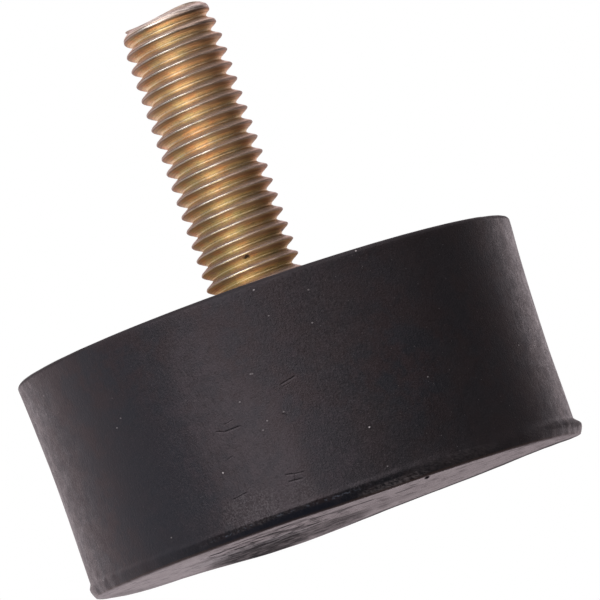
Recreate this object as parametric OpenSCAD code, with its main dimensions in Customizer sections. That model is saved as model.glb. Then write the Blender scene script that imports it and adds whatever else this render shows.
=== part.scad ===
// Round rubber foot with a bonded steel plate and a headed stud.
// The foot stands on its rubber face at z = 0, and the stud points up along +Z.
// All sizes are in millimetres.

/* [Rubber foot] */
// Height from the floor face to the bonded top face
foot_h = 21.9; // [18:0.1:40]
// Diameter at the bonded end, just under the rounded rim
top_d = 50.2; // [44:0.1:80]
// How far the wall draws in from the bonded end to the waist, on each side
shrink = 0.6; // [0.1:0.05:1.5]
// Height over which the wall draws in
shrink_h = 14; // [5:0.5:16]
// Radius of the rounded rim at the top
rim_r = 0.4; // [0.2:0.1:1.5]

/* [Flash lip] */
// Height of the lip's upper edge above the floor
lip_z = 1.1; // [0.8:0.1:3]
// How far the lip stands out from the waist
lip_out = 0.45; // [0.1:0.05:1]
// Height of the lip's upright nose
lip_nose = 0.35; // [0.1:0.05:0.6]
// How far the edge of the floor face lies inside the lip
floor_in = 0.35; // [0.1:0.05:2]

/* [Steel plate] */
// Width of the rubber ring left around the plate
ring_w = 2.1; // [1.6:0.1:6]
// Thickness of the plate
plate_t = 2.5; // [1.5:0.1:4]

/* [Stud] */
// Outside diameter of the thread
stud_d = 9.8; // [6:0.1:10.5]
// Length of the stud above the plate
stud_len = 29.6; // [12:0.1:60]
// Length of the bevel at the stud's tip
tip_h = 1; // [0.3:0.1:2]
// How far the tip's flat end lies inside the thread's outside, on each side
tip_in = 1.05; // [0.3:0.05:2]
// Diameter of the neck pressed into the plate
neck_d = 11; // [10.8:0.1:14]
// Diameter of the head under the plate
head_d = 18; // [15:0.5:26]
// Thickness of the head
head_t = 2.4; // [1.5:0.1:4]
// Bevel around the lower edge of the head
head_bevel = 0.6; // [0.1:0.1:1.2]

/* [Fits] */
// Gap on each side between the neck and its hole in the plate
neck_gap = 0; // [0:0.01:0.1]

/* [Hidden] */
$fn = 96;

top_r = top_d / 2;
waist_r = top_r - shrink;
lip_r = waist_r + lip_out;
plate_r = top_r - ring_w;
plate_z = foot_h - plate_t;
head_z = plate_z - head_t;
hole_r = neck_d / 2 + neck_gap;
// Radius of the long arc that leaves the waist upright and ends at the rim
shrink_arc_r = (shrink_h ^ 2 + shrink ^ 2) / (2 * shrink);
shrink_angle = asin(shrink_h / shrink_arc_r);
// Extra depth that lets a cut break through a face
through = 1;

// Points along an arc about (x, z) from angle a to angle b
function arc(x, z, r, a, b, steps) =
    [for (i = [0 : steps]) let (t = a + (b - a) * i / steps) [x + r * cos(t), z + r * sin(t)]];

// Half section of the moulding: floor, lip, waist, drawn-in wall, rim and top
module rubber_section() {
    shrink_z = foot_h - rim_r - shrink_h;
    polygon(concat(
        [[0, 0], [lip_r - floor_in, 0], [lip_r, lip_z - lip_nose]],
        arc(lip_r, lip_z + lip_out, lip_out, 270, 180, 5),
        arc(waist_r + shrink_arc_r, shrink_z, shrink_arc_r, 180, 180 - shrink_angle, 8),
        arc(top_r - rim_r, foot_h - rim_r, rim_r, 15, 90, 5),
        [[0, foot_h]]
    ));
}

// Half section of the stud: bevelled head, neck, thread diameter and tip
module stud_section() {
    polygon([
        [0, head_z],
        [head_d / 2 - head_bevel, head_z],
        [head_d / 2, head_z + head_bevel],
        [head_d / 2, plate_z],
        [neck_d / 2, plate_z],
        [neck_d / 2, foot_h],
        [stud_d / 2, foot_h],
        [stud_d / 2, foot_h + stud_len - tip_h],
        [stud_d / 2 - tip_in, foot_h + stud_len],
        [0, foot_h + stud_len]
    ]);
}

module stud_blank() rotate_extrude() stud_section();

// Moulded rubber, with the seats that the plate and the stud's head are bonded into
module rubber_body() {
    color([0.13, 0.12, 0.13])
    difference() {
        rotate_extrude() rubber_section();
        translate([0, 0, plate_z]) cylinder(r = plate_r, h = plate_t + through);
        stud_blank();
    }
}

// Steel disc, flush with the top of the rubber, with a hole for the stud's neck
module steel_plate() {
    color([0.72, 0.62, 0.4])
    translate([0, 0, plate_z])
    difference() {
        cylinder(r = plate_r, h = plate_t);
        translate([0, 0, -through]) cylinder(r = hole_r, h = plate_t + 2 * through);
    }
}

// Headed stud; its thread is cut into the full diameter shown here
module threaded_stud() {
    color([0.75, 0.58, 0.32])
    stud_blank();
}

rubber_body();
steel_plate();
threaded_stud();
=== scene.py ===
"""Looks of a round black rubber foot with a long, yellow-passivated M10 stud.

Lengths are in millimetres until a mesh, a lamp or the camera is made, where MM turns them into metres.
Angles round the foot are turns from +X towards +Y; a bearing is an angle from the front, -Y, towards +X.
"""
from math import cos, radians, sin, tau

import bmesh
import bpy
import numpy as np
from mathutils import Matrix, Vector


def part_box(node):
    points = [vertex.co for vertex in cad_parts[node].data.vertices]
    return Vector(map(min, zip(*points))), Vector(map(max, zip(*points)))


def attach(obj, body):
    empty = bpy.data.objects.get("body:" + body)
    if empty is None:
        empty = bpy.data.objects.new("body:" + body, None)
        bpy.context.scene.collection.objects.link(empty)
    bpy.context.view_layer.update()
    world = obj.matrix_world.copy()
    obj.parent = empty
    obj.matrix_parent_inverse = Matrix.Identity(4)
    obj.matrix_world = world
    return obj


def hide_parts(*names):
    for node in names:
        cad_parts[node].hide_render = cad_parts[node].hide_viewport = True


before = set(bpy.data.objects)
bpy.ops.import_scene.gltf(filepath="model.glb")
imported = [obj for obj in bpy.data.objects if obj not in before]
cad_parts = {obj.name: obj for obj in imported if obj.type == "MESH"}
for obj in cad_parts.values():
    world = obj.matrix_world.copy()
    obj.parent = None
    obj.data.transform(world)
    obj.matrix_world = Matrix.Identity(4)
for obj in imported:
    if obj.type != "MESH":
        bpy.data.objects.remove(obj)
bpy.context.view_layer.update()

MM = 0.001

# Sizes taken from the frame
rubber_box, plate_box, stud_box = (
    np.array(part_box(node)) / MM for node in ("rubber_body", "steel_plate", "threaded_stud")
)
foot_h = rubber_box[1, 2]
top_r = rubber_box[1, 0]
plate_r = plate_box[1, 0]
plate_z = plate_box[0, 2]
head_r = stud_box[1, 0]
head_z = stud_box[0, 2]
tip_z = stud_box[1, 2]

# Camera, as fitted to the foot's outline and the thread's crests
CAMERA_PLACE = (-0.04, -535.96, -24.54)
CAMERA_AIM = (3.451, 0.0, 20.942)
CAMERA_ROLL = radians(-19.149)
CAMERA_LENS = 333.9
CAMERA_NEAR = 10
CAMERA_FAR = 5000

# Tints of the lamps and the surround, of the surround behind the foot, and of its left side
LIGHT_TINT = (1.0, 0.94, 0.965)
BACK_TINT = (1.0, 0.87, 0.905)
SIDE_TINT = (1.0, 0.985, 1.08)

# A section stops this far from the axis, and the pole is filled
POLE_R = 0.01
# Points closer than this are one
SAME_POINT = 0.0005

# Moulded rubber: waist, height of the drawn-out wall, rim, and the bevel of the stud's head
WAIST_R = 24.58
SHRINK_H = 14.0
RIM_R = 0.4
RIM_DROP = 0.04
HEAD_BEVEL = 0.6
# Going round the foot in even steps from +X towards +Y: height and radius of the floor face's edge
EDGE_Z = (
    -0.16, -0.05, 0.2, 0.19, 0.17, 0.07, -0.14, -0.29, -0.06, -0.05, -0.1, -0.02,
    0.05, 0.03, -0.02, -0.05, -0.08, -0.13, -0.24, -0.3, -0.21, -0.21, -0.21, -0.26,
)
EDGE_R = (24.78, 24.7, 24.45, 24.4, 24.35, 24.3, 24.45, 24.52, 24.12, 24.05, 24.3, 24.5)
# Going round likewise: how far the lip stands out from the waist, and the height of its nose
LIP_OUT = (0.62, 0.58, 0.45, 0.35, 0.3, 0.28, 0.24, 0.13, 0.03, 0.02, 0.03, 0.16)
LIP_Z = (0.72, 0.76, 0.85, 0.9, 0.95, 0.98, 0.98, 0.98, 0.96, 0.92, 0.85, 0.76)
# Going round likewise: how round the chamfer under the lip is, and the height over which the lip falls back
LIP_ROUND = (1.6, 1.8, 2.0, 2.0, 2.0, 2.0, 1.6, 1.6, 1.1, 1.15, 1.5, 1.6)
LIP_FALL = (0.75, 0.6, 0.6, 0.6, 0.6, 0.6, 0.6, 0.6, 0.5, 0.5, 0.8, 1.2)
# Heights of the small chance waves on the floor edge, the torn lip, the rim and the wall
EDGE_WEAR = 0.008
LIP_TEAR = 0.02
RIM_WEAR = 0.04
WALL_WAVE = 0.015
# The wall's waves rise over the first pair of heights and fade over the second, under the top
WAVES_START = (0.5, 2.5)
WAVES_END = (0.1, 1.5)
RUBBER_COLUMNS = 600
FLOOR_ROWS = 14
LIP_ROWS = 10
WALL_ROWS = 70
RIM_ROWS = 8
RING_ROWS = 4

# Rolled thread, with heights above the plate. The sheared end's heights go round from +X.
PITCH = 1.5
CREST_R = 4.875
CREST_WORN = 0.045
CREST_FLAT = 0.165
CREST_Z = 0.5
ROOT_R = 3.865
ROUNDING = 0.055
CORNER = 0.3
FLANK_SLOPE = 3 ** 0.5
NICK_DEPTH = 0.012
NICKS_PER_MM = (25.0, 7.5)
NICK_DRIFT = 5
NICK_DRIFT_PER_MM = 2.1
TAPER_Z = 26.5
TAPER_SLOPE = 0.16
END_ROUND = 0.45
END_DROP = 0.55
END_CORNER = 0.1
END_DOME = 0.12
END_Z = (29.58, 29.5, 29.4, 29.35, 29.32, 29.32, 29.3, 29.08, 29.0, 29.22, 29.56, 29.63)
RUNOUT = 1.6
RUNOUT_FILL = 0.55
NECK_R = 5.5
THREAD_COLUMNS = 90
ROWS_PER_TURN = 40
CAP_ROWS = 6

# Floor: its hole under the foot, the ring where it is flat white, its outside, and where it fades out
FLOOR_R = (1.0, 60.0, 500.0)
FLOOR_FADE = (90.0, 420.0)
FLOOR_COLUMNS = 96


def smoothstep(low, high, x):
    """Rises from 0 at low to 1 at high along 3t^2 - 2t^3."""
    t = np.clip((x - low) / (high - low), 0, 1)
    return t * t * (3 - 2 * t)


def soft_min(a, b, reach):
    """The smaller of a and b, with the corner between them rounded over the given reach."""
    near = np.clip(reach - np.abs(a - b), 0, None) / reach
    return np.minimum(a, b) - near * near * reach / 4


def soft_max(a, b, reach):
    """The larger of a and b, with the corner between them rounded over the given reach."""
    return -soft_min(-a, -b, reach)


def ripple(turn, height, seed, count, most_waves, tallest):
    """Sum of count seeded waves: each goes round a whole number of times and up with its own slant."""
    rng = np.random.default_rng(seed)
    round_waves = rng.integers(1, most_waves, count)[:, None, None]
    up_waves = rng.normal(0, tau / tallest, count)[:, None, None]
    start = rng.uniform(0, tau, count)[:, None, None]
    waves = np.cos(round_waves * turn + up_waves * height + start)
    return waves.sum(axis=0) / count ** 0.5


def around(turn, samples):
    """Smooth closed curve near samples that are spaced evenly round the foot: their first harmonics."""
    waves = np.fft.rfft(samples)[:(len(samples) + 1) // 2] / len(samples)
    order = np.arange(1, len(waves))[:, None]
    return waves[0].real + 2 * (waves[1:, None] * np.exp(1j * order * turn)).real.sum(axis=0)[None, :]


def full_turn(columns):
    """The angles of a grid's columns, evenly spaced over one turn, as a row."""
    return (np.arange(columns) * tau / columns)[None, :]


def steps(count, first=None):
    """A column of count evenly spaced numbers that end at 1, and start one step above 0 or at first."""
    return np.linspace(first or 1 / count, 1, count)[:, None]


def close_up(mesh):
    """Merges the points that a clamped grid leaves on top of each other and fills the two poles."""
    work = bmesh.new()
    work.from_mesh(mesh)
    bmesh.ops.remove_doubles(work, verts=work.verts, dist=SAME_POINT * MM)
    bmesh.ops.dissolve_degenerate(work, edges=work.edges, dist=SAME_POINT * MM)
    bmesh.ops.holes_fill(work, edges=work.edges, sides=0)
    bmesh.ops.triangulate(work, faces=[face for face in work.faces if len(face.verts) > 4])
    work.to_mesh(mesh)
    work.free()


def mesh_piece(name, points, faces, marks, body, replaced):
    """Object at the origin from points in millimetres, with the marks kept as numbers on its points."""
    mesh = bpy.data.meshes.new(name)
    mesh.from_pydata((points * MM).tolist(), [], faces.tolist())
    for mark, values in marks.items():
        mesh.attributes.new(mark, "FLOAT", "POINT").data.foreach_set("value", values.astype(np.float32))
    close_up(mesh)
    piece = bpy.data.objects.new(name, mesh)
    bpy.context.scene.collection.objects.link(piece)
    mesh.shade_smooth()
    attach(piece, body)
    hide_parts(replaced)
    return piece


def ring_faces(rows, columns, shift=0):
    """Quads between neighbouring rows of a grid that closes on itself round the axis.

    The last column joins the first one shift rows higher up, which is how a helix closes.
    """
    row, column = np.meshgrid(np.arange(rows - 1 - shift), np.arange(columns), indexing="ij")
    following = (column + 1) % columns
    lift = np.where(column == columns - 1, shift, 0)
    corners = (
        row * columns + column,
        (row + lift) * columns + following,
        (row + lift + 1) * columns + following,
        (row + 1) * columns + column,
    )
    return np.stack(corners, axis=-1).reshape(-1, 4)


def revolve_points(turn, radius, height):
    """Points of a grid from its angles, radii and heights, each of shape rows by columns."""
    turn, radius, height = np.broadcast_arrays(turn, radius, height)
    return np.stack((radius * np.cos(turn), radius * np.sin(turn), height), axis=-1).reshape(-1, 3)


def rubber_surface():
    """Section of the moulding carried round the axis, with the angle changing the lip, edge and rim.

    From the middle of the floor face: a nearly flat disc whose height goes as the cube of the way out,
    a chamfer that rounds off towards the lip as a power of the way left, a half cosine back to the
    waist, the wall widening as the square of its height above the waist, a quarter circle round the
    rim, then the seats of the plate and of the stud's head back to the axis.
    """
    turn = full_turn(RUBBER_COLUMNS)
    torn = ripple(turn, 0.0, seed=3, count=40, most_waves=90, tallest=9.0)
    worn = ripple(turn, 0.0, seed=5, count=30, most_waves=60, tallest=9.0)

    edge_z = around(turn, EDGE_Z) + EDGE_WEAR * worn
    edge_r = around(turn, EDGE_R) + LIP_TEAR * torn
    lip_r = WAIST_R + around(turn, LIP_OUT) + LIP_TEAR * torn
    lip_z = around(turn, LIP_Z) + LIP_TEAR * worn
    wall_z = lip_z + around(turn, LIP_FALL) + RIM_WEAR * worn
    rim_r = RIM_R + RIM_WEAR * worn
    rim_z = foot_h - RIM_DROP - rim_r

    s = steps(FLOOR_ROWS, first=0.004)
    floor = (edge_r * s, edge_z * s ** 3)
    s = steps(LIP_ROWS)
    chamfer = (
        edge_r + (lip_r - edge_r) * (1 - (1 - s) ** around(turn, LIP_ROUND)),
        edge_z + (lip_z - edge_z) * s,
    )
    fillet = (WAIST_R + (lip_r - WAIST_R) * (1 + np.cos(s * tau / 2)) / 2, lip_z + (wall_z - lip_z) * s)
    s = steps(WALL_ROWS)
    height = wall_z + (rim_z - wall_z) * s
    widening = np.clip((height - rim_z + SHRINK_H) / SHRINK_H, 0, 1) ** 2
    wall = (WAIST_R + (top_r - WAIST_R) * widening, height)
    s = steps(RIM_ROWS)
    rim = (top_r - rim_r * (1 - np.cos(s * tau / 4)), rim_z + rim_r * np.sin(s * tau / 4))
    s = steps(RING_ROWS)
    ring = (
        top_r - rim_r + (plate_r - top_r + rim_r) * s,
        foot_h - RIM_DROP * (1 - s) * np.ones_like(turn),
    )

    seat = np.array([
        (plate_r, plate_z),
        (head_r, plate_z),
        (head_r, head_z + HEAD_BEVEL),
        (head_r - HEAD_BEVEL, head_z),
        (POLE_R, head_z),
    ])
    seats = (seat[:, :1], seat[:, 1:])

    parts = [
        np.broadcast_arrays(r, z, turn) for r, z in (floor, chamfer, fillet, wall, rim, ring, seats)
    ]
    radius, height, turn = (np.concatenate(column) for column in zip(*parts))
    under_top = foot_h - height
    on_wall = smoothstep(*WAVES_START, height) * smoothstep(*WAVES_END, under_top)
    on_wall = on_wall * (radius > plate_r + 0.1)
    waves = ripple(turn, height, seed=8, count=24, most_waves=9, tallest=14.0)
    radius = radius + WALL_WAVE * on_wall * waves
    marks = {
        "rise": height - edge_z,
        "underside": (np.arange(len(radius)) < FLOOR_ROWS)[:, None] * np.ones_like(turn),
    }
    marks = {name: values.ravel() for name, values in marks.items()}
    return revolve_points(turn, radius, height), ring_faces(len(radius), RUBBER_COLUMNS), marks


def thread_radius(turn, z, end):
    """Radius of a 60 degree right-hand thread at an angle and a height above the plate.

    Crests lie where z less a pitch per turn equals CREST_Z. The radius falls from the crest along
    straight flanks to a rounded root, where the square root of a sum of squares takes the kink out of
    the distance from the crest. It fills up to the shank over the first turn above the plate. Near the
    tip the crests taper, and a quarter of an ellipse rounds them off under the sheared end.
    """
    phase = (z - CREST_Z) / PITCH - turn / tau
    away = np.hypot((phase - np.round(phase)) * PITCH, ROUNDING)
    away = PITCH / 2 - np.hypot(PITCH / 2 - away, ROUNDING)
    drift = NICK_DRIFT * np.sin(NICK_DRIFT_PER_MM * z)
    nicks = np.cos(NICKS_PER_MM[0] * z + drift) * np.cos(NICKS_PER_MM[1] * z)
    crest = CREST_R - CREST_WORN * z / (tip_z - foot_h) + NICK_DEPTH * nicks
    flank = crest - (away - CREST_FLAT / 2) * FLANK_SLOPE
    crest = crest - TAPER_SLOPE * np.clip(z - TAPER_Z, 0, None)
    radius = soft_max(soft_min(flank, crest, CORNER), ROOT_R, CORNER)
    radius = np.maximum(radius, ROOT_R + RUNOUT_FILL * (1 - smoothstep(0.0, RUNOUT, z)))
    near = np.clip(1 - (end - z) / END_ROUND, 0, 1)
    return soft_min(radius, crest - END_DROP * (1 - np.sqrt(1 - near * near)), END_CORNER)


def stud_surface():
    """Headed stud: a section turned round the axis up to the plate, then the thread's helical grid.

    Each row of the grid climbs one pitch in a turn, so crests and roots run along rows. Heights are
    held between the plate and the sheared end, which the last rows close with a shallow dome that
    falls as the square of the radius.
    """
    turn = full_turn(THREAD_COLUMNS)
    end = around(turn, END_Z)
    rows = int((tip_z - foot_h) / PITCH + 3) * ROWS_PER_TURN
    level = ((np.arange(rows) / ROWS_PER_TURN - 1) * PITCH)[:, None]
    z = np.clip(level + PITCH * turn / tau, 0, end)
    radius = thread_radius(turn, z, end)
    thread_points = revolve_points(turn, radius, z + foot_h)
    thread_faces = ring_faces(rows, THREAD_COLUMNS, ROWS_PER_TURN)

    section = np.array([
        (POLE_R, head_z),
        (head_r - HEAD_BEVEL, head_z),
        (head_r, head_z + HEAD_BEVEL),
        (head_r, plate_z),
        (NECK_R, plate_z),
        (NECK_R, foot_h),
    ])
    base_points = revolve_points(turn, section[:, :1], section[:, 1:])
    base_faces = ring_faces(len(section) + 1, THREAD_COLUMNS)
    thread_faces = thread_faces + len(base_points)

    inwards = steps(CAP_ROWS, first=0.2)[::-1][1:]
    cap_radius = radius[-1] * inwards * np.ones_like(turn)
    cap_height = end + foot_h - END_DOME * (1 - (cap_radius / radius[-1]) ** 2)
    cap_points = revolve_points(turn, cap_radius, cap_height)
    cap_start = len(base_points) + (rows - 1) * THREAD_COLUMNS
    cap_faces = ring_faces(len(cap_radius) + 1, THREAD_COLUMNS) + cap_start

    points = np.concatenate((base_points, thread_points, cap_points))
    faces = np.concatenate((base_faces, thread_faces, cap_faces))
    return points, faces, {}


class Wire:
    """An output socket whose + - * / **, minus sign and abs() add Math nodes to its tree."""

    def __init__(self, paint, socket):
        self.paint = paint
        self.socket = socket

    def maths(self, operation, *values):
        return self.paint.add("ShaderNodeMath", {"operation": operation}, dict(enumerate(values)))

    def __add__(self, other):
        return self.maths("ADD", self, other)

    def __radd__(self, other):
        return self.maths("ADD", other, self)

    def __sub__(self, other):
        return self.maths("SUBTRACT", self, other)

    def __rsub__(self, other):
        return self.maths("SUBTRACT", other, self)

    def __mul__(self, other):
        return self.maths("MULTIPLY", self, other)

    def __rmul__(self, other):
        return self.maths("MULTIPLY", other, self)

    def __truediv__(self, other):
        return self.maths("DIVIDE", self, other)

    def __rtruediv__(self, other):
        return self.maths("DIVIDE", other, self)

    def __pow__(self, other):
        return self.maths("POWER", self, other)

    def __rpow__(self, other):
        return self.maths("POWER", other, self)

    def __neg__(self):
        return 0 - self

    def __abs__(self):
        return self.maths("ABSOLUTE", self)

    def above(self, other):
        """The larger of this and another value."""
        return self.maths("MAXIMUM", self, other)


class Paint:
    """The node tree of one material or world, and the few ways this scene adds nodes to it."""

    def __init__(self, tree):
        self.tree = tree
        tree.nodes.clear()

    def add(self, kind, settings=(), inputs=(), output=0):
        """Adds a node of a type: its settings first, then the values or wires of its sockets."""
        node = self.tree.nodes.new(kind)
        for name, value in dict(settings).items():
            if name == "stops":
                self.fill_ramp(node.color_ramp, value)
            else:
                setattr(node, name, value)
        for name, value in dict(inputs).items():
            if isinstance(value, Wire):
                self.tree.links.new(value.socket, node.inputs[name])
            else:
                node.inputs[name].default_value = value
        return Wire(self, node.outputs[output]) if len(node.outputs) else node

    @staticmethod
    def fill_ramp(ramp, stops):
        """Gives a new ramp its stops, each a place and a colour."""
        for _ in range(len(stops) - len(ramp.elements)):
            ramp.elements.new(1)
        for element, (place, color) in zip(ramp.elements, stops):
            element.position = place
            element.color = (*color, 1)

    def place(self):
        """Object coordinates in millimetres, as a vector and its three numbers."""
        metres = self.add("ShaderNodeTexCoord", output="Object")
        vector = self.add("ShaderNodeVectorMath", {"operation": "SCALE"}, {0: metres, "Scale": 1 / MM})
        return vector, self.split(vector)

    def split(self, vector):
        """The three numbers of a vector."""
        return [self.add("ShaderNodeSeparateXYZ", (), {0: vector}, axis) for axis in range(3)]

    def mark(self, name):
        """A number kept on the mesh's points."""
        return self.add("ShaderNodeAttribute", {"attribute_name": name}, (), "Fac")

    def vector(self, x, y, z):
        return self.add("ShaderNodeCombineXYZ", (), {0: x, 1: y, 2: z})

    def stretch(self, vector, amounts):
        return self.add("ShaderNodeVectorMath", {"operation": "MULTIPLY"}, {0: vector, 1: amounts})

    def noise(self, vector, scale, detail=3.0, roughness=0.55):
        return self.add("ShaderNodeTexNoise", (), {
            "Vector": vector, "Scale": scale, "Detail": detail, "Roughness": roughness}, "Fac")

    def specks(self, vector, scale, share, size):
        """Round dots of a size in cell widths, in a share of the cells of a Voronoi pattern."""
        settings, inputs = {"feature": "F1"}, {"Vector": vector, "Scale": scale}
        distance = self.add("ShaderNodeTexVoronoi", settings, inputs, "Distance")
        color = self.add("ShaderNodeTexVoronoi", settings, inputs, "Color")
        chance = self.add("ShaderNodeSeparateColor", (), {0: color}, 0)
        return self.step(chance, 1 - share, 1 - share * 0.6) * (1 - self.step(distance, size * 0.5, size))

    def step(self, value, low, high):
        """Rises smoothly from 0 at low to 1 at high."""
        return self.add("ShaderNodeMapRange", {"interpolation_type": "SMOOTHSTEP"}, {
            "Value": value, "From Min": low, "From Max": high})

    def spot(self, x, y, centre, reach):
        """1 inside an ellipse, falling smoothly to 0 at its reach."""
        across, up = (x - centre[0]) / reach[0], (y - centre[1]) / reach[1]
        return 1 - self.step(across * across + up * up, 0.2, 1.0)

    def spots(self, x, y, places):
        """The highest of several spots, each with a centre, a reach and a strength."""
        masks = [self.spot(x, y, centre, reach) * strength for centre, reach, strength in places]
        highest = masks[0]
        for mask in masks[1:]:
            highest = highest.above(mask)
        return highest

    def stroke(self, x, y, start, end, width):
        """1 along a straight scratch from start to end, tapering at its ends and sides."""
        (x0, y0), (x1, y1) = start, end
        length = ((x1 - x0) ** 2 + (y1 - y0) ** 2) ** 0.5
        c, s = (x1 - x0) / length, (y1 - y0) / length
        along = abs((x - (x0 + x1) / 2) * c + (y - (y0 + y1) / 2) * s)
        across = abs((y - y0) * c - (x - x0) * s)
        return (1 - self.step(along, length * 0.3, length / 2)) * (1 - self.step(across, 0, width))

    def blend(self, share, first, second):
        """Colour from first to second as share goes from 0 to 1."""
        colors = {6: first, 7: second}
        inputs = {i: c if isinstance(c, Wire) else (*c, 1) for i, c in colors.items()}
        return self.add("ShaderNodeMix", {"data_type": "RGBA"}, {0: share, **inputs}, 2)

    def over(self, color, *layers):
        """Lays colours over a first one in turn, each by its share."""
        for share, layer in layers:
            color = self.blend(share, color, layer)
        return color

    def ramp(self, value, stops):
        return self.add("ShaderNodeValToRGB", {"stops": stops}, {0: value})

    def bump(self, height, strength, distance):
        return self.add("ShaderNodeBump", (), {
            "Height": height, "Strength": strength, "Distance": distance * MM})

    def surface(self, **inputs):
        """Principled shader; a socket's name is written with underscores for spaces."""
        named = {name.replace("_", " "): value for name, value in inputs.items()}
        named = {n: (*v, 1) if isinstance(v, tuple) else v for n, v in named.items()}
        return self.add("ShaderNodeBsdfPrincipled", (), named)

    def mixed(self, share, first, second):
        """Shader from first to second as share goes from 0 to 1."""
        return self.add("ShaderNodeMixShader", (), {0: share, 1: first, 2: second})

    def finish(self, shader, kind="ShaderNodeOutputMaterial"):
        self.add(kind, (), {"Surface": shader})


def new_paint(name):
    """A new material and the paint of its tree."""
    material = bpy.data.materials.new(name)
    material.use_nodes = True
    return material, Paint(material.node_tree)


# Marks on the wall: bearing in degrees and height of both ends, width, depth of tone
SCRATCHES = (
    ((-2.6, 12.0), (1.7, 12.38), 0.13, 0.9),
    ((-2.2, 11.75), (0.2, 11.95), 0.08, 0.3),
    ((-17.6, 9.66), (-13.1, 9.7), 0.15, 1.0),
    ((-19.1, 10.0), (-17.2, 9.66), 0.12, 0.8),
    ((-17.0, 10.3), (-14.2, 10.5), 0.1, 0.5),
    ((-7.8, 4.06), (-5.6, 3.86), 0.14, 0.9),
    ((-6.0, 3.88), (-3.4, 3.73), 0.11, 0.7),
    ((-7.7, 3.34), (-3.9, 3.2), 0.15, 1.0),
    ((-5.7, 3.9), (-6.1, 3.2), 0.09, 0.6),
    ((-3.9, 9.5), (-2.9, 9.05), 0.16, 0.8),
    ((-18.9, 7.15), (-17.0, 7.35), 0.12, 0.6),
    ((-21.0, 3.5), (-16.4, 3.75), 0.11, 0.7),
)
# Bearing, height and brightness of each grain of dust, and the reach of a grain and of the dark round it
DUST = (
    (12.9, 5.7, 1.0), (-20.6, 6.2, 0.9), (22.7, 21.6, 0.8), (-1.0, 21.1, 0.8), (-64.5, 19.4, 0.5),
    (-68.0, 1.1, 0.6), (-38.2, 2.3, 0.35), (-42.6, 13.7, 0.4), (-40.6, 14.4, 0.3), (10.0, 19.5, 0.35),
    (8.5, 16.5, 0.4), (0.2, 18.4, 0.3), (60.9, 9.1, 0.5), (29.7, 8.5, 0.35), (-11.8, 11.8, 0.4),
    (-7.5, 9.32, 0.45), (-9.0, 8.63, 0.35), (-7.6, 13.9, 0.35), (-7.2, 13.86, 0.35), (-3.5, 9.6, 0.35),
)
DUST_REACH = (0.12, 0.09)
HALO_REACH = (0.34, 0.26)
# Patches of the wall: bearing and height of the centre, reach in both, and strength
COOL_PATCHES = (((-37, 6), (16, 13), 1.0), ((4, 4.5), (8, 6), 1.0))
HIGHLIGHT_PATCHES = (((-13, 6), (12, 10), 1.0), ((-18, 12), (9, 10), 1.0))
SCUFFED_PATCHES = (((-17, 1.8), (9, 2.6), 1.0), ((-6, 2), (5, 1.6), 0.6))
LIT_PATCH = ((-8, 10), (30, 40))
# Scuffs on the lowest millimetre, and the painted shade in the crease at the right, with the rise above the
# edge for a height
LIP_SCUFFS = (((14, 0.38), (9.5, 0.42), 0.75), ((30, 0.7), (16, 0.7), 0.16), ((64, 0.9), (16, 1.1), 0.22))
CREASE_SHADE = ((74, 1.5), (20, 0.6))
# Dark strokes on the floor face: both ends and half the width
STREAKS = (
    ((-6.6, -17.5), (-2.2, -14.0), 1.5), ((0.8, -11.2), (3.8, -8.2), 1.3), ((-4.0, 0.4), (-1.8, -0.8), 1.2),
    ((-7.8, -13.0), (-2.6, 0.0), 1.6), ((-2.6, -12.8), (1.8, -8.6), 1.2), ((-10.6, -3.6), (-7.0, -6.0), 1.8),
    ((6.2, -4.8), (8.4, -6.8), 0.8), ((5.9, -5.2), (6.6, -5.3), 1.2), ((7.4, -10.6), (8.0, -10.8), 1.4),
    ((-9.5, -16.5), (-6.2, -15.0), 1.2), ((-12.5, -8.5), (-9.5, -10.0), 1.4),
)
# Patches of the floor face: centre, reach and, where it has one, strength
DARK_PATCHES = (((-8, 14), (6.5, 16), 1.0), ((-1, 12), (5, 12), 0.6))
DULL_PATCHES = (((-12, -2), (4, 3), 0.2), ((4, 8), (6, 6), 0.12))
RUBBED_PATCH = ((-18, 0), (10, 22))
BLUISH_PATCH = ((-9, 4), (8, 9))
FRECKLED_PATCH = ((-6, -5), (9, 16))
PIT = ((9.1, -17.5), (0.33, 5.0))
# Far edge of the floor face, where a band of painted shade lies
SHADED_EDGE_R = (20.8, 22.6)
MM_PER_DEGREE = WAIST_R * tau / 360

# Tones of the rubber
COOL_BLACK = (0.0045, 0.0085, 0.0125)
WARM_BLACK = (0.0145, 0.0085, 0.009)
CLOUD_BLACK = (0.0125, 0.0105, 0.011)
SLATE_BLACK = (0.004, 0.0078, 0.0118)
LOW_SHADE = (0.004, 0.0045, 0.005)
FAR_SHADE = (0.001, 0.0006, 0.0008)
UPPER_PAINTED_LIGHT = (0.022, 0.019, 0.02)
PAINTED_HIGHLIGHT_GREY = (0.032, 0.0285, 0.032)
MOTTLE_GREY = (0.03, 0.022, 0.027)
FIBRE_GREY = (0.045, 0.04, 0.043)
GRAIN_GREY = (0.06, 0.053, 0.056)
SCUFF_GREY = (0.075, 0.071, 0.074)
SCUFF_BLACK = (0.005, 0.004, 0.004)
PORE_BLACK = (0.0, 0.0, 0.0)
EDGE_SHADE_BLUE = (0.0018, 0.0055, 0.0125)
GLINT_BLUE = (0.1, 0.118, 0.148)
LIP_GREY = (0.14, 0.125, 0.125)
EDGE_BROWN = (0.05, 0.031, 0.022)
CREASE_SHADE_BLACK = (0.002, 0.002, 0.002)
FACE_DARK = (0.07, 0.054, 0.053)
FACE_LIGHT = (0.13, 0.106, 0.111)
FACE_PALE = (0.21, 0.194, 0.208)
FACE_BLUE = (0.05, 0.058, 0.066)
FACE_BLACK = (0.004, 0.005, 0.008)
GRIME_AND_SHADE = (0.012, 0.01, 0.012, 1)
SCRATCH_BLACK = (0.001, 0.001, 0.002)
RIM_BLACK = (0.004, 0.004, 0.005)
HALO_BLACK = (0.002, 0.002, 0.003)
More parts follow.
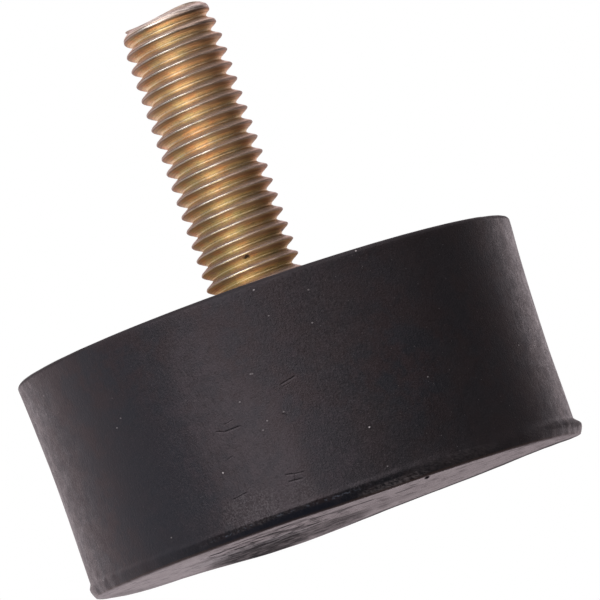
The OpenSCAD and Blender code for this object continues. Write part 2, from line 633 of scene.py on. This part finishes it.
SPECK_GREY = (0.12, 0.112, 0.115)
DUST_WHITE = (0.42, 0.4, 0.4)
RUBBER_SHEEN = (1.0, 0.9, 0.95)


def rubber_wall(paint, vector, across, bearing, z):
    """Colour and gloss of the wall: cloudy warm and cool blacks under fine upright fibres and grain, with
    painted highlight patches, painted light towards the top and painted shade low on the right.
    """
    clouds = paint.noise(vector, 0.13, 4.0)
    mottle = paint.noise(vector, 0.8, 5.0, 0.65)
    grain = paint.noise(vector, 5.5, 2.0, 0.7)
    fibres = paint.noise(paint.vector(across * 4.5, z * 1.3, 0.0), 1.0, 4.0, 0.7)
    hue = paint.noise(paint.vector(across * 0.3, z * 0.3, 7.0), 1.0, 4.0, 0.65)

    right = paint.step(bearing, -4, 12) * (1 - paint.step(bearing, 32, 50))
    far_right = paint.step(bearing, 24, 40) * (1 - paint.step(bearing, 50, 68))
    # Painted light: grain, fibres and pores are drawn stronger in the lit patch round the highlight
    lit = 0.35 + 0.65 * paint.spot(bearing, z, *LIT_PATCH)
    broken = 0.3 + 0.7 * paint.step(mottle + clouds * 0.6, 0.66, 0.9)
    scuffs = paint.spots(bearing, z, SCUFFED_PATCHES)
    color = paint.over(
        paint.blend(paint.step(hue, 0.4, 0.6), COOL_BLACK, WARM_BLACK),
        (paint.step(clouds, 0.4, 0.6) * 0.4, CLOUD_BLACK),
        (paint.spots(bearing, z, COOL_PATCHES) * 0.8, SLATE_BLACK),
        # Painted shade low on the right of the wall, and painted light towards its top
        (right * (1 - paint.step(z, 1, 14)) * 0.6, LOW_SHADE),
        (paint.step(z, 6, 20) * (0.15 + 0.4 * right), UPPER_PAINTED_LIGHT),
        # Painted highlight: cloudy pale patches where the key lamp's reflection falls
        (paint.spots(bearing, z, HIGHLIGHT_PATCHES) * broken * 0.85, PAINTED_HIGHLIGHT_GREY),
        (paint.step(mottle, 0.46, 0.74) * 0.45 * lit, MOTTLE_GREY),
        (paint.step(fibres, 0.5, 0.78) * 0.45 * lit, FIBRE_GREY),
        (paint.step(grain, 0.5, 0.8) * 0.6 * lit, GRAIN_GREY),
        (paint.step(2 - grain - fibres, 1.02, 1.3) * 0.8 * lit, PORE_BLACK),
        (scuffs * paint.step(grain, 0.45, 0.58) * 0.7, SCUFF_GREY),
        (scuffs * paint.step(fibres, 0.5, 0.58) * 0.6, SCUFF_BLACK),
        (far_right * 0.6, FAR_SHADE),
    )
    gloss = 0.18 + 0.2 * clouds + 0.14 * mottle + 0.14 * fibres + 0.2 * (grain - 0.5) + 0.12 * far_right
    side = paint.step(abs(bearing), 42, 62)
    gloss = gloss + side * (0.3 * (mottle - 0.5) + 0.35 * (grain - 0.5) + 0.25 * (fibres - 0.5))
    return color, gloss, (mottle, grain, fibres)


def rubber_edge(paint, color, across, bearing, rise, mottle):
    """Lowest millimetre of the wall: painted blue-black shade in front with a broken painted glint, scuffed
    to the right, with painted shade in the crease there.
    """
    strokes = paint.noise(paint.vector(across * 5 + rise * 2.5, rise * 1.6, 0.0), 1.0, 3.0, 0.7)
    combed = paint.noise(paint.vector(across * 2.6 + rise * 4, rise * 3.0, 4.0), 1.0, 5.0, 0.75)
    patches = paint.noise(paint.vector(across * 1.7, rise * 2.5, 9.0), 1.0, 4.0, 0.7)
    ragged = mottle * 0.5 + strokes * 0.5
    sinking = (-bearing - 12).above(0) * 0.014

    chamfer = 1 - paint.step(rise + ragged * 0.5 + sinking, 0.85, 1.1)
    front = paint.step(bearing + 24 * ragged, -25, -8) * (1 - paint.step(bearing + 10 * ragged, 2, 14))
    line = abs(rise + ragged * 0.4 - 1.1 + sinking)
    # Painted highlight: a broken light-blue glint along the top of the chamfer
    glint = (1 - paint.step(line, 0.02, 0.16)) * paint.step(patches, 0.5, 0.62)
    shown = paint.step(bearing, -33, -24) * (1 - paint.step(bearing, 2, 12))
    scuffed = sum(paint.spot(bearing, rise, *place) * strength for *place, strength in LIP_SCUFFS)
    worn = (1 - paint.step(rise + ragged * 0.12, 0.14, 0.32)) * (1 - chamfer * front * 0.35)
    # Painted shade: a dark, rougher line in the crease between lip and wall at the right
    crease_shade = paint.spot(bearing, rise + ragged * 0.8, *CREASE_SHADE) * paint.step(strokes, 0.3, 0.6)
    color = paint.over(
        color,
        # Painted shade: blue-black band on the chamfer in front
        (chamfer * front * 0.9, EDGE_SHADE_BLUE),
        (glint * shown * 0.85, GLINT_BLUE),
        (scuffed * paint.step(combed, 0.38, 0.62), LIP_GREY),
        (worn * 0.75, EDGE_BROWN),
        (crease_shade * 0.7, CREASE_SHADE_BLACK),
    )
    return color, crease_shade, strokes * chamfer


def rubber_floor(paint, x, y):
    """Floor face: its worn, paler colour, its gloss, how far strokes and pit are dull, and the dark, dull
    painted shade along its far edge.
    """
    lines = paint.noise(paint.vector(x * 0.3, y * 0.3, 0.0), 1.0, 5.0, 0.7)
    fine = paint.noise(paint.vector(x * 0.75, y * 0.42, 3.0), 1.0, 4.0, 0.65)
    lighter_share = 0.55 + 0.65 * paint.step(lines * 0.6 + fine * 0.4, 0.42, 0.56)
    pale = paint.spot(x, y, *RUBBED_PATCH) * lighter_share

    streaks = paint.spots(x, y, DARK_PATCHES)
    for start, end, width in STREAKS:
        streaks = streaks.above(paint.stroke(x, y, start, end, width))
    streaks = streaks * (0.4 + 0.6 * paint.step(lines * 0.5 + fine * 0.5, 0.4, 0.54))
    marks = streaks + paint.step(fine, 0.46, 0.66) * paint.spot(x, y, *FRECKLED_PATCH) * 0.7
    marks = marks + paint.step(fine + lines, 1.02, 1.18) * 0.35
    marks = marks + sum(paint.spot(x, y, *place) * strength for *place, strength in DULL_PATCHES)
    pit = paint.spot(x, y, *PIT)
    # Painted shade: the far edge of the floor face is made dark and dull
    edge = paint.step((x * x + y * y) ** 0.5, *SHADED_EDGE_R) * paint.step(y, 0, 5)
    edge = edge * (0.25 + 0.75 * paint.step(x, -3, 6))
    color = paint.over(
        paint.blend(paint.step(lines, 0.36, 0.64), FACE_DARK, FACE_LIGHT),
        (pale * 0.75, FACE_PALE),
        (paint.spot(x, y, *BLUISH_PATCH) * 0.8, FACE_BLUE),
        (marks.above(edge), FACE_BLACK),
    )
    return color, 0.47 + 0.4 * marks - 0.05 * pale, (marks * 0.32).above(edge * 0.7).above(pit)


def black_rubber():
    """Satin moulded black rubber with scratches and dust on its wall, and its worn floor face."""
    material, paint = new_paint("black_rubber")
    vector, (x, y, z) = paint.place()
    bearing = x.maths("ARCTAN2", x, -y) * (360 / tau)
    across = bearing * MM_PER_DEGREE
    rise, underside = paint.mark("rise"), paint.mark("underside")

    color, wall_gloss, (mottle, grain, fibres) = rubber_wall(paint, vector, across, bearing, z)
    scratches = 0
    for start, end, width, tone in SCRATCHES:
        ends = [(b * MM_PER_DEGREE, h) for b, h in (start, end)]
        scratches = scratches + paint.stroke(across, z, *ends, width) * tone
    rim = paint.step(z, foot_h - 0.5, foot_h - 0.25)
    color = paint.over(color, (scratches * 0.9, SCRATCH_BLACK), (rim * 0.6, RIM_BLACK))
    color, crease_shade, edge_strokes = rubber_edge(paint, color, across, bearing, rise, mottle)

    specks = paint.specks(vector, 1.8, 0.9, 0.085) * (0.45 + 0.45 * paint.step(bearing, 0, 25))
    grains = [((b * MM_PER_DEGREE, h), tone) for b, h, tone in DUST]
    dust = paint.specks(vector, 0.5, 0.12, 0.05) * 0.3
    dust = dust.above(paint.spots(across, z, [(centre, DUST_REACH, tone) for centre, tone in grains]))
    halo = sum(paint.spot(across, z, centre, HALO_REACH) * tone for centre, tone in grains)
    color = paint.over(color, (halo * 0.7, HALO_BLACK), (specks, SPECK_GREY), (dust, DUST_WHITE))

    floor_color, floor_gloss, dull = rubber_floor(paint, x, y)
    color = paint.blend(underside, color, floor_color)
    roughness = (wall_gloss + 0.3 * rim + 0.25 * crease_shade) * (1 - underside) + floor_gloss * underside
    height = grain * 0.8 + mottle * 0.6 + fibres * 0.8 - scratches + edge_strokes
    satin = paint.surface(
        Base_Color=color, Roughness=roughness, Specular_Tint=RUBBER_SHEEN,
        Normal=paint.bump(height, 0.8, 0.04))
    # Dull dark diffuse for the strokes and pit, and for the painted shade at the far edge
    grime_and_shade = paint.add("ShaderNodeBsdfDiffuse", (), {"Color": GRIME_AND_SHADE})
    paint.finish(paint.mixed(dull * underside, satin, grime_and_shade))
    return material


# Films of yellow passivation, as stops from one tint to another
FLANK_FILM = (
    (0.3, (0.5, 0.31, 0.25)), (0.42, (0.78, 0.43, 0.19)), (0.5, (0.68, 0.48, 0.25)),
    (0.58, (0.6, 0.52, 0.27)), (0.7, (0.56, 0.39, 0.34)),
)
GROOVE_FILM = (
    (0.35, (1.0, 0.68, 0.38)), (0.48, (1.0, 0.82, 0.5)), (0.58, (0.92, 0.83, 0.48)),
    (0.68, (0.98, 0.7, 0.48)),
)
PLATE_FILM = (
    (0.3, (0.67, 0.54, 0.31)), (0.45, (0.69, 0.58, 0.33)), (0.58, (0.63, 0.56, 0.34)),
    (0.7, (0.68, 0.53, 0.35)),
)
# Tones of the thread
FLANK_SHADE_BROWN = (0.3, 0.17, 0.08)
GROOVE_SHADE_BROWN = (0.4, 0.27, 0.13)
UPPER_GREY = (0.88, 0.77, 0.67)
ROLLED_BROWN = (0.17, 0.115, 0.085)
GRIT_GREY = (0.24, 0.19, 0.16)
LOW_BROWN = (0.1, 0.06, 0.03)
HIGH_GOLD = (1.0, 0.74, 0.5)
UNDER_CREST_SHADE = (0.2, 0.12, 0.07)
CREST_GREY = (0.24, 0.175, 0.145)
BARE_ZINC_AND_HIGHLIGHT = (1.0, 0.98, 0.88)
END_DARK = (0.2, 0.165, 0.145)
END_BRIGHT = (1.0, 0.93, 0.86)
CUT_DARK = (0.34, 0.28, 0.24)
CUT_BRIGHT = (0.62, 0.54, 0.48)
DIRT_BLACK = (0.03, 0.02, 0.015)
ZINC_SHEEN = (0.6, 0.5, 0.5)
# Dirt in the thread, by its place across the stud and above the plate, with its reach
FRONT_DIRT = ((-0.08, 4.29), (0.42, 0.22))
RIGHT_DIRT = ((4.15, 5.87), (0.25, 0.2))


def passivated_thread():
    """Yellow-passivated zinc: copper lower flanks, gold roots, grey upper flanks, crests worn bare, which
    are bright only across the lit front as a painted highlight, with painted shade under the crests and on
    the right side.

    The turn of the helix that a point belongs to goes through the angle of its height in pitches less
    its angle round the axis, whose cosine is 1 on a crest and whose sine is 1 half way up a flank.
    """
    material, paint = new_paint("passivated_thread")
    vector, (x, y, z) = paint.place()
    above_plate = z - foot_h
    angle = (above_plate - CREST_Z) * (tau / PITCH) - x.maths("ARCTAN2", y, x)
    crest, upper = x.maths("COSINE", angle), x.maths("SINE", angle)

    drift = paint.noise(vector, 0.22, 3.0, 0.5)
    tint = paint.noise(vector, 0.75, 4.0, 0.6)
    grit = paint.noise(vector, 5.0, 3.0, 0.7)
    rolled = paint.noise(paint.vector(crest * 2.6, upper * 2.6, z * 4.5), 1.0, 4.0, 0.7)
    flecks = paint.noise(paint.vector(crest * 2, upper * 2, z * 34), 1.0, 3.0, 0.7)

    # Painted shade: flanks, grooves and the band under the crests are darker on the right, away from the key
    # lamp
    right_shade = paint.step(x, 0.2, 1.8) * (1 - paint.step(x, 3.2, 4.4))
    flank = paint.ramp(tint * 0.7 + drift * 0.3, FLANK_FILM)
    groove = paint.ramp(tint * 0.4 + drift * 0.6, GROOVE_FILM)
    groove = paint.blend(right_shade * 0.35, groove, GROOVE_SHADE_BROWN)
    # Painted shade on the downward flank just under each crest
    under_crest_shade = paint.step(crest * 0.54 - upper * 0.84, 0.72, 0.95)
    line = paint.step(crest - upper * 0.12, 0.94, 0.985)
    # Partly painted highlight: the bare zinc of the crests is bright only across the lit front and dim to
    # either side
    lighter_share = 0.35 + 0.75 * paint.step(x, -3.4, -2.0) - 0.9 * paint.step(x, -0.3, 0.9)
    bright = line * lighter_share * paint.step(flecks, 0.42, 0.53)
    color = paint.over(
        flank,
        (right_shade * 0.55, FLANK_SHADE_BROWN),
        (paint.step(upper, 0.0, 0.8), UPPER_GREY),
        (paint.step(-crest, 0.3, 0.8), groove),
        (paint.step(rolled, 0.46, 0.7) * 0.6, ROLLED_BROWN),
        (paint.step(grit, 0.48, 0.72) * 0.5, GRIT_GREY),
        ((1 - paint.step(above_plate, 0, 18)) * 0.27, LOW_BROWN),
        (paint.step(above_plate, 10, 24) * 0.2, HIGH_GOLD),
        (under_crest_shade * (0.55 + 0.25 * right_shade), UNDER_CREST_SHADE),
        (paint.step(crest - upper * 0.1, 0.7, 0.86) * 0.8, CREST_GREY),
        (bright, BARE_ZINC_AND_HIGHLIGHT),
    )

    at_tip = paint.step(above_plate - 0.02 * x, 28.6, 28.9)
    brushed = paint.noise(paint.vector(x * 0.5, y * 0.5, z * 14.0), 1.0, 3.0, 0.7)
    streaky = paint.blend(paint.step(brushed, 0.42, 0.6), END_DARK, END_BRIGHT)
    cut = paint.noise(paint.vector(x * 2.4, y * 0.5, 2.0), 1.0, 3.0, 0.6)
    sheared = paint.blend(paint.step(cut, 0.35, 0.65), CUT_DARK, CUT_BRIGHT)
    streaky = paint.blend(paint.step((x * x + y * y) ** 0.5, 3.9, 4.3), sheared, streaky)
    ragged = (grit - 0.5) * 0.5
    dirt = paint.spot(x + ragged, above_plate - ragged, *FRONT_DIRT)
    dirt = dirt.above(paint.spot(x, above_plate, *RIGHT_DIRT))
    color = paint.over(color, (at_tip * 0.8, streaky), (dirt, DIRT_BLACK))

    in_root = paint.step(-crest, 0.5, 0.95)
    roughness = 0.27 + 0.16 * rolled + 0.14 * grit - 0.17 * bright - 0.05 * in_root
    height = rolled + 0.7 * grit + flecks * line * 0.8
    paint.finish(paint.surface(
        Base_Color=color, Metallic=1.0, Roughness=roughness, Specular_Tint=ZINC_SHEEN,
        Coat_Weight=0.12, Coat_Roughness=0.3, Normal=paint.bump(height, 0.6, 0.03)))
    return material


def passivated_plate():
    """Yellow-passivated sheet steel: a gold film that drifts to olive and buff, over fine rolled grain."""
    material, paint = new_paint("passivated_plate")
    vector, _ = paint.place()
    film = paint.ramp(paint.noise(vector, 0.07, 4.0, 0.6), PLATE_FILM)
    grain = paint.noise(paint.stretch(vector, (1, 9, 1)), 2.2, 3.0, 0.6)
    roughness = 0.24 + 0.22 * grain
    normal = paint.bump(grain, 0.3, 0.03)
    paint.finish(paint.surface(Base_Color=film, Metallic=1.0, Roughness=roughness, Normal=normal))
    return material


def pale_floor():
    """One-sided pale floor that fades out round the foot, so the white surround meets it without an edge."""
    material, paint = new_paint("pale_floor")
    _, (x, y, _) = paint.place()
    reach = (x * x + y * y) ** 0.5
    under = paint.add("ShaderNodeNewGeometry", output="Backfacing")
    seen = (1 - paint.step(reach, *FLOOR_FADE)) * (1 - under)
    clear = paint.add("ShaderNodeBsdfTransparent", (), {"Color": (1, 1, 1, 1)})
    matt = paint.add("ShaderNodeBsdfDiffuse", (), {"Color": (0.9, 0.9, 0.9, 1)})
    paint.finish(paint.mixed(seen, clear, matt))
    return material


def studio_world():
    """White surround, darker to the right and below the front; plain white where the camera sees it."""
    world = bpy.data.worlds.new("studio")
    world.use_nodes = True
    bpy.context.scene.world = world
    paint = Paint(world.node_tree)
    x, y, z = paint.split(paint.add("ShaderNodeTexCoord", output="Generated"))
    left = 1 - paint.step(x, 0.35, 1.0)
    behind = paint.step(y, -0.3, 0.6)
    below = paint.step(-y * 0.6 - z * 0.8, 0.3, 0.8)
    level = (0.1 + 0.9 * left) * (0.62 + 0.38 * behind) * (1 - 0.85 * below)
    level = level * (1 - 0.17 * paint.step(-x, 0.5, 0.75))
    level = level * (1 + 0.2 * paint.step(x, 0.25, 0.5) * behind) * (1 + 0.16 * paint.step(y, 0.72, 0.88))
    color = paint.blend(behind, LIGHT_TINT, BACK_TINT)
    color = paint.blend(paint.step(-x, 0.6, 0.9) * (1 - behind), color, SIDE_TINT)
    room = paint.add("ShaderNodeBackground", (), {"Color": color, "Strength": level})
    white = paint.add("ShaderNodeBackground", (), {"Color": (1, 1, 1, 1), "Strength": 1.0})
    to_camera = paint.add("ShaderNodeLightPath", output="Is Camera Ray")
    paint.finish(paint.mixed(to_camera, room, white), "ShaderNodeOutputWorld")


def soft_box(name, bearing, elevation, distance, width, height, level):
    """Rectangular lamp aimed at the foot from a bearing and an elevation; a level of 1 looks white."""
    light = bpy.data.lights.new(name, "AREA")
    light.shape = "RECTANGLE"
    light.size, light.size_y = width * MM, height * MM
    light.energy = level * light.size * light.size_y * tau / 2
    light.color = LIGHT_TINT
    lamp = bpy.data.objects.new(name, light)
    bpy.context.scene.collection.objects.link(lamp)
    a, e = radians(bearing), radians(elevation)
    away = Vector((sin(a) * cos(e), -cos(a) * cos(e), sin(e)))
    lamp.location = (Vector((0, 0, foot_h)) + away * distance) * MM
    lamp.rotation_euler = away.to_track_quat("Z", "Y").to_euler()


def photo_camera():
    """Camera at the fitted place, looking at its aim point and rolled about its line of sight."""
    data = bpy.data.cameras.new("camera")
    data.lens = CAMERA_LENS
    data.clip_start, data.clip_end = CAMERA_NEAR * MM, CAMERA_FAR * MM
    camera = bpy.data.objects.new("camera", data)
    bpy.context.scene.collection.objects.link(camera)
    place, aim = Vector(CAMERA_PLACE), Vector(CAMERA_AIM)
    turned = (aim - place).to_track_quat("-Z", "Y").to_matrix() @ Matrix.Rotation(CAMERA_ROLL, 3, "Z")
    camera.matrix_world = Matrix.Translation(place * MM) @ turned.to_4x4()
    bpy.context.scene.camera = camera


def floor_disc(level):
    """Flat ring on the floor plane, with its small hole under the middle of the foot."""
    radius = np.array(FLOOR_R)[:, None]
    points = revolve_points(full_turn(FLOOR_COLUMNS), radius, level)
    mesh = bpy.data.meshes.new("floor")
    faces = ring_faces(len(radius), FLOOR_COLUMNS)[:, ::-1]
    mesh.from_pydata((points * MM).tolist(), [], faces.tolist())
    floor = bpy.data.objects.new("floor", mesh)
    bpy.context.scene.collection.objects.link(floor)
    mesh.materials.append(pale_floor())
    floor.visible_glossy = floor.visible_diffuse = floor.visible_shadow = False


points, faces, marks = rubber_surface()
lowest = points[:, 2].min()
rubber = mesh_piece("moulded_rubber", points, faces, marks, "root", "rubber_body")
rubber.data.materials.append(black_rubber())

points, faces, marks = stud_surface()
stud = mesh_piece("rolled_thread_stud", points, faces, marks, "root", "threaded_stud")
stud.data.materials.append(passivated_thread())

plate = bpy.data.objects["steel_plate"]
plate_paint = passivated_plate()
if plate.data.materials:
    for index in range(len(plate.data.materials)):
        plate.data.materials[index] = plate_paint
else:
    plate.data.materials.append(plate_paint)

floor_disc(lowest)
studio_world()
soft_box("key", bearing=-20, elevation=14, distance=900, width=760, height=900, level=1.2)
soft_box("top", bearing=10, elevation=50, distance=900, width=2000, height=600, level=1.7)
photo_camera()

view_settings = bpy.context.scene.view_settings
view_settings.view_transform = "Standard"
